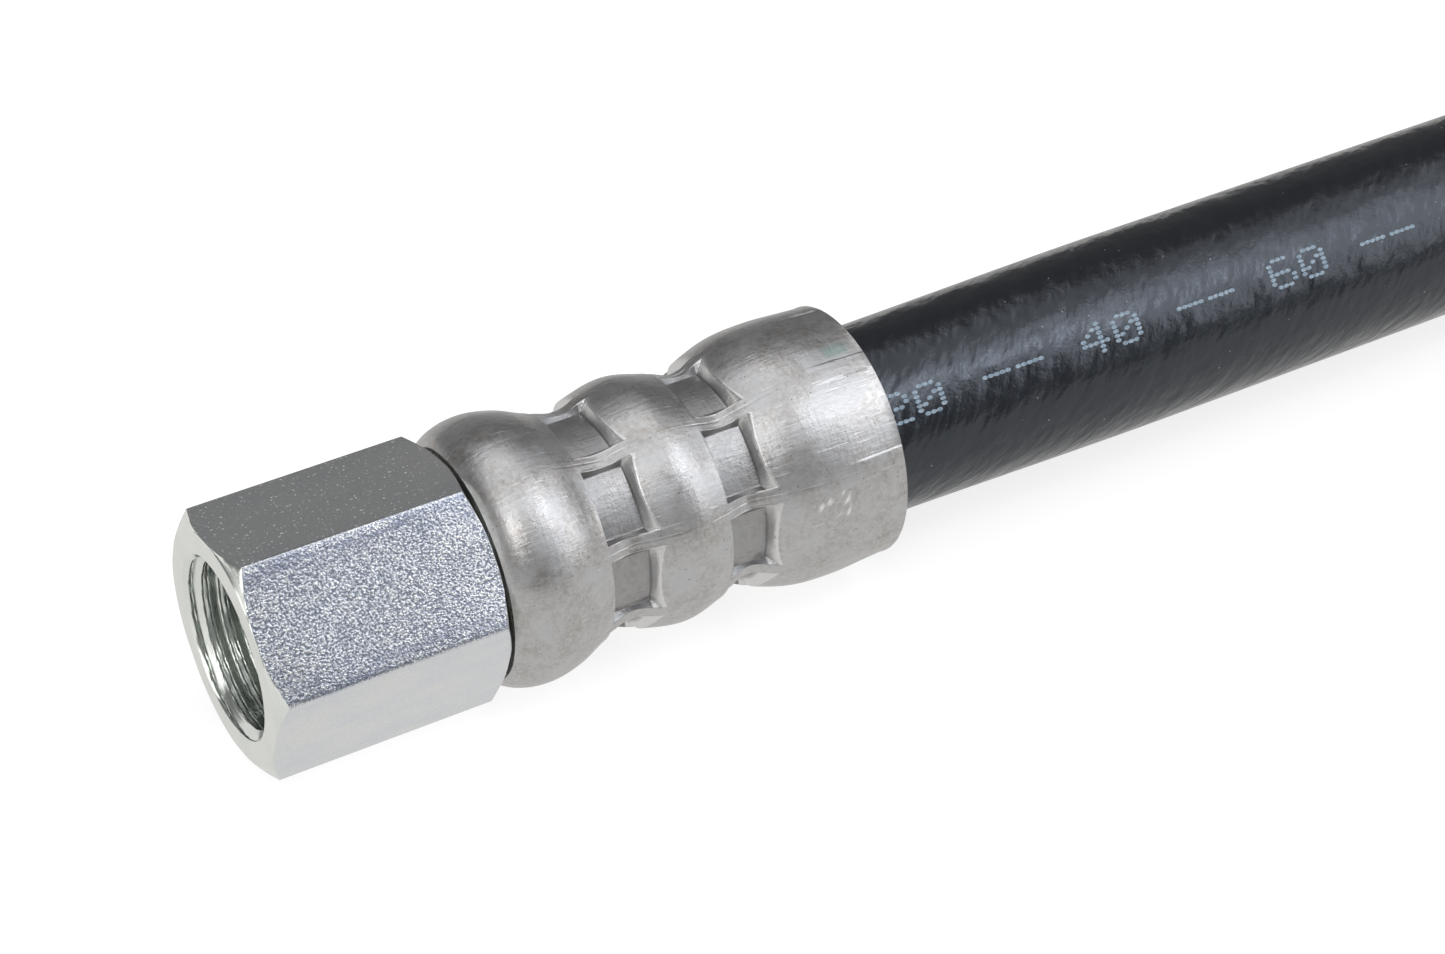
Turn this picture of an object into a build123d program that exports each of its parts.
from build123d import *
import math
import os

# A 3/8 in textile-braided hydraulic hose, crimped at each end to a fitting with a flat-faced stem
# and a hexagon swivel nut.  One STEP file is written for each piece.
#
# Frame: X runs along the near fitting's axis, from the mouth of its nut towards the hose, and Z is up.
# The origin is on that axis, where the near nut's thread begins.  The assembly lies on a level surface.
# Every length is in millimetres.

# ---- driving dimensions -------------------------------------------------------------------------

# swivel nut, for an 11/16-16 UN flat-face port
NUT_FLATS = 22.0  # across the flats
NUT_LENGTH = 22.9
NUT_FACE_R = 11.1  # flat ring at each end, inside the corner chamfer
NUT_CHAMFER_ANGLE = 30.0
CORNER_CLEAR = 0.01  # the chamfer's cone ends this far outside the hexagon's corners
NUT_FLAT_TURN = 20.0  # one flat's normal, from +Y towards +Z
HALF_SIDE = 30.0  # degrees between a corner of the hexagon and the middle of a flat
FAR_NUT_TURN = 47.0
THREAD_R = 7.95  # minor radius of the thread
THREAD_MOUTH_R = 8.8
THREAD_MOUTH = 0.85  # depth of the lead-in
THREAD_END = 10.15
RELIEF_R = 8.9
NUT_SHOULDER = 14.5  # the nut pulls on the stem's head here
NUT_REAR_R = 6.05
NUT_POCKET = 20.6  # rear counterbore, around the stem's collar
NUT_POCKET_R = 7.4

# stem
BORE_R = 3.6  # flow passage
SEAL_FACE = 11.4  # flat sealing face, from the nut's front face
HEAD_R = 7.7
HEAD_BACK = 14.45
HEAD_EDGE = 0.3
NECK_R = 6.0
COLLAR = 20.9
COLLAR_R = 7.2
STOP = 28.0  # the hose stops short of this shoulder
STOP_R = 6.9
TAIL_R = 4.85
BARB_R = 5.25
BARB_COUNT = 5
BARB_FIRST = 30.0
BARB_PITCH = 6.0
BARB_SLOPE = 4.4
TAIL_END = 60.5
TIP_R = 4.45
TIP_LENGTH = 1.0

# ferrule, crimped by eight jaws in two rings
LIP_R = 6.2  # closed into the stem's groove
LIP_FRONT = 23.35
LIP_BACK = 26.6
RIM = 63.6
FERRULE_OUTSIDE = [  # distance from the nut's front face, radius
    (23.5, 11.6),
    (24.2, 12.16),
    (25.6, 12.7),
    (27.4, 12.92),
    (30.4, 12.41),
    (33.2, 11.25),
    (35.85, 10.61),
    (38.3, 11.35),
    (42.2, 11.99),
    (45.4, 11.24),
    (48.2, 10.42),
    (50.3, 11.31),
    (53.5, 12.3),
    (57.6, 12.61),
    (63.35, 12.38),
]
FACE_EDGE_R = 11.35
RIM_EDGE_R = 12.15
RIM_INSIDE_R = 10.4
GRIP = [  # inside of the ferrule where it grips the hose
    (28.2, 10.0),
    (31.0, 10.05),
    (35.85, 8.55),
    (42.2, 9.85),
    (48.2, 8.4),
    (54.0, 9.9),
]
JAWS = 8
JAW_TURN = 45.0  # first jaw's middle, from +Y towards +Z
JAW_WIDTH = 36.0  # degrees that a jaw covers
JAW_FLOOR_R = 10.1
JAW_OUTER_R = 14.7  # outside the largest swell
JAW_MARKS = [(33.45, 37.4), (45.8, 49.7)]  # front and back of each ring of flats

# hose, by the outer radius of each layer
HOSE_BORE_R = 4.76
HOSE_LAYERS = {
    "liner": 6.4,
    "inner_braid": 7.0,
    "tie_layer": 7.3,
    "outer_braid": 7.9,
    "cover": 9.73,
}
HOSE_R = HOSE_LAYERS["cover"]
HOSE_START = 28.2
HOSE_EXIT_R = 9.4  # the cover is still squeezed where it leaves the ferrule

# route of the free hose: equal runs, with a heading after each corner (0 is +X, 90 is +Y)
RUN = 103.0
HEADINGS = [43.0, 89.0, 136.0, 180.0]
CORNER_HEIGHTS = [0.0, -3.1, -3.1, 0.0]  # the middle of the hose lies on the surface
ARC_SHARE = 0.45  # of a run, taken up by the arc at each of its ends
ROUTE_START = Vector(RIM - THREAD_MOUTH, 0, 0)


# ---- shapes -------------------------------------------------------------------------------------


def turned(outline):
    """Solid of revolution about X, from a closed outline of (distance, radius)."""
    return revolve(make_face(Polyline(*outline, close=True)), Axis.X, 360)


def swivel_nut(flat_turn):
    """Hexagon nut, open right through: thread, relief, shoulder, rear bore and rear counterbore."""
    hexagon = extrude(Plane.YZ * RegularPolygon(NUT_FLATS / 2, 6, major_radius=False), NUT_LENGTH)
    # a new hexagon has a corner on +Y, so the nearest flat's normal is half a side's angle on
    hexagon = Rot(X=flat_turn - HALF_SIDE) * hexagon
    corner_r = NUT_FLATS / math.sqrt(3) + CORNER_CLEAR
    cut = (corner_r - NUT_FACE_R) * math.tan(math.radians(NUT_CHAMFER_ANGLE))
    chamfered = turned(
        [
            (0, 0),
            (0, NUT_FACE_R),
            (cut, corner_r),
            (NUT_LENGTH - cut, corner_r),
            (NUT_LENGTH, NUT_FACE_R),
            (NUT_LENGTH, 0),
        ]
    )
    relief_slope = RELIEF_R - THREAD_R
    hollow = turned(
        [
            (0, 0),
            (0, THREAD_MOUTH_R),
            (THREAD_MOUTH, THREAD_R),
            (THREAD_END, THREAD_R),
            (THREAD_END + relief_slope, RELIEF_R),
            (NUT_SHOULDER, RELIEF_R),
            (NUT_SHOULDER, NUT_REAR_R),
            (NUT_POCKET, NUT_REAR_R),
            (NUT_POCKET, NUT_POCKET_R),
            (NUT_LENGTH, NUT_POCKET_R),
            (NUT_LENGTH, 0),
        ]
    )
    return (hexagon & chamfered) - hollow


def tail_outline():
    """Outside of the barbed tail, from the stop to the foot of its tapered tip."""
    outline = [(STOP, TAIL_R)]
    for i in range(BARB_COUNT):
        start = BARB_FIRST + i * BARB_PITCH
        outline += [(start, TAIL_R), (start, BARB_R), (start + BARB_SLOPE, TAIL_R)]
    return outline + [(TAIL_END - TIP_LENGTH, TAIL_R)]


def stem():
    """Flat-faced head, neck, collar, groove for the ferrule's lip, stop, and barbed tail."""
    return turned(
        [
            (SEAL_FACE, BORE_R),
            (SEAL_FACE, HEAD_R - HEAD_EDGE),
            (SEAL_FACE + HEAD_EDGE, HEAD_R),
            (HEAD_BACK, HEAD_R),
            (HEAD_BACK, NECK_R),
            (COLLAR, NECK_R),
            (COLLAR, COLLAR_R),
            (LIP_FRONT, COLLAR_R),
            (LIP_FRONT, LIP_R),
            (LIP_BACK, LIP_R),
            (LIP_BACK, STOP_R),
            (STOP, STOP_R),
            *tail_outline(),
            (TAIL_END, TIP_R),
            (TAIL_END, BORE_R),
        ]
    )


def jaw_flats():
    """Blocks that the crimping jaws leave as flats, in two rings of eight."""
    width = 2 * JAW_FLOOR_R * math.tan(math.radians(JAW_WIDTH / 2))
    height = JAW_OUTER_R - JAW_FLOOR_R
    blocks = []
    for front, back in JAW_MARKS:
        middle = Pos((front + back) / 2, JAW_FLOOR_R + height / 2, 0)
        block = middle * Box(back - front, height, width)
        blocks += [Rot(X=JAW_TURN + 360 / JAWS * i) * block for i in range(JAWS)]
    return blocks


def ferrule():
    """Crimped sleeve: three round swells, two rings of jaw flats, and a lip in the stem's groove."""
    outside = Spline(*FERRULE_OUTSIDE)
    inside = Polyline(
        FERRULE_OUTSIDE[-1],
        (RIM, RIM_EDGE_R),
        (RIM, RIM_INSIDE_R),
        *reversed(GRIP),
        (LIP_BACK, GRIP[0][1]),
        (LIP_BACK, LIP_R),
        (LIP_FRONT, LIP_R),
        (LIP_FRONT, FACE_EDGE_R),
        FERRULE_OUTSIDE[0],
    )
    sleeve = revolve(make_face(outside.edges() + inside.edges()), Axis.X, 360)
    return sleeve - jaw_flats()


def layer_share(radius):
    """How far through the hose wall a radius lies, from 0 at the bore to 1 at the outside."""
    return (radius - HOSE_BORE_R) / (HOSE_R - HOSE_BORE_R)


def gripped_surface(radius):
    """Outline of one surface between hose layers, squeezed between the tail and the ferrule."""
    share = layer_share(radius)
    if share == 0:
        inside = [point for point in tail_outline() if point[0] > HOSE_START]
        return [(HOSE_START, TAIL_R)] + inside + [(RIM, HOSE_BORE_R)]
    squeezed = [(x, TAIL_R + share * (outer - TAIL_R)) for x, outer in GRIP]
    return squeezed + [(RIM, min(radius, HOSE_EXIT_R))]


def gripped_layer(inner, outer):
    """The end of one hose layer, inside the ferrule."""
    return turned(gripped_surface(inner) + gripped_surface(outer)[::-1])


def route():
    """Corner points of the free hose's centre line, from the near rim to the far rim."""
    point = ROUTE_START + Vector(RUN, 0, 0)
    points = [ROUTE_START, point]
    for heading, height in zip(HEADINGS, CORNER_HEIGHTS[1:] + [0.0]):
        turn = math.radians(heading)
        point = Vector(point.X + RUN * math.cos(turn), point.Y + RUN * math.sin(turn), height)
        points.append(point)
    return points


def arc_radii(points):
    """Radius of the tangent arc at each corner of a route."""
    radii = []
    for before, corner, after in zip(points, points[1:], points[2:]):
        run_in = corner - before
        run_out = after - corner
        half_turn = math.radians(run_in.get_angle(run_out)) / 2
        radii.append(ARC_SHARE * min(run_in.length, run_out.length) / math.tan(half_turn))
    return radii


def hose_layer(path, inner, outer):
    """One layer of the free hose, swept along its route."""
    start = Plane(path @ 0, x_dir=(0, 0, 1), z_dir=path % 0)
    return sweep(start * (Circle(outer) - Circle(inner)), path)


# ---- assembly -----------------------------------------------------------------------------------


def fitting(name, place, flat_turn):
    """The pieces of one end fitting, with the hose ends it grips, by node name."""
    pieces = {"nut": swivel_nut(flat_turn), "stem": stem(), "ferrule": ferrule()}
    inner = HOSE_BORE_R
    for layer, outer in HOSE_LAYERS.items():
        pieces[f"{layer}_end"] = gripped_layer(inner, outer)
        inner = outer
    return {f"{name}_{key}": place * solid for key, solid in pieces.items()}


points = route()
radii = arc_radii(points)
path = FilletPolyline(*points, radius=radii)
print("free hose: length", round(path.length, 1), "arc radii", [round(r, 1) for r in radii])

end = points[-1]
nodes = fitting("near", Pos(-THREAD_MOUTH, 0, 0), NUT_FLAT_TURN)
nodes |= fitting("far", Pos(end.X - RIM, end.Y, end.Z), FAR_NUT_TURN)
inner = HOSE_BORE_R
for layer, outer in HOSE_LAYERS.items():
    solid = hose_layer(path, inner, outer)
    section = math.pi * (outer**2 - inner**2)
    print("hose", layer, "volume", round(solid.volume), "section x length", round(section * path.length))
    nodes[f"hose_{layer}"] = solid
    inner = outer

os.makedirs("parts", exist_ok=True)
for node, solid in nodes.items():
    solid.label = node
    export_step(solid, f"parts/{node}.step")
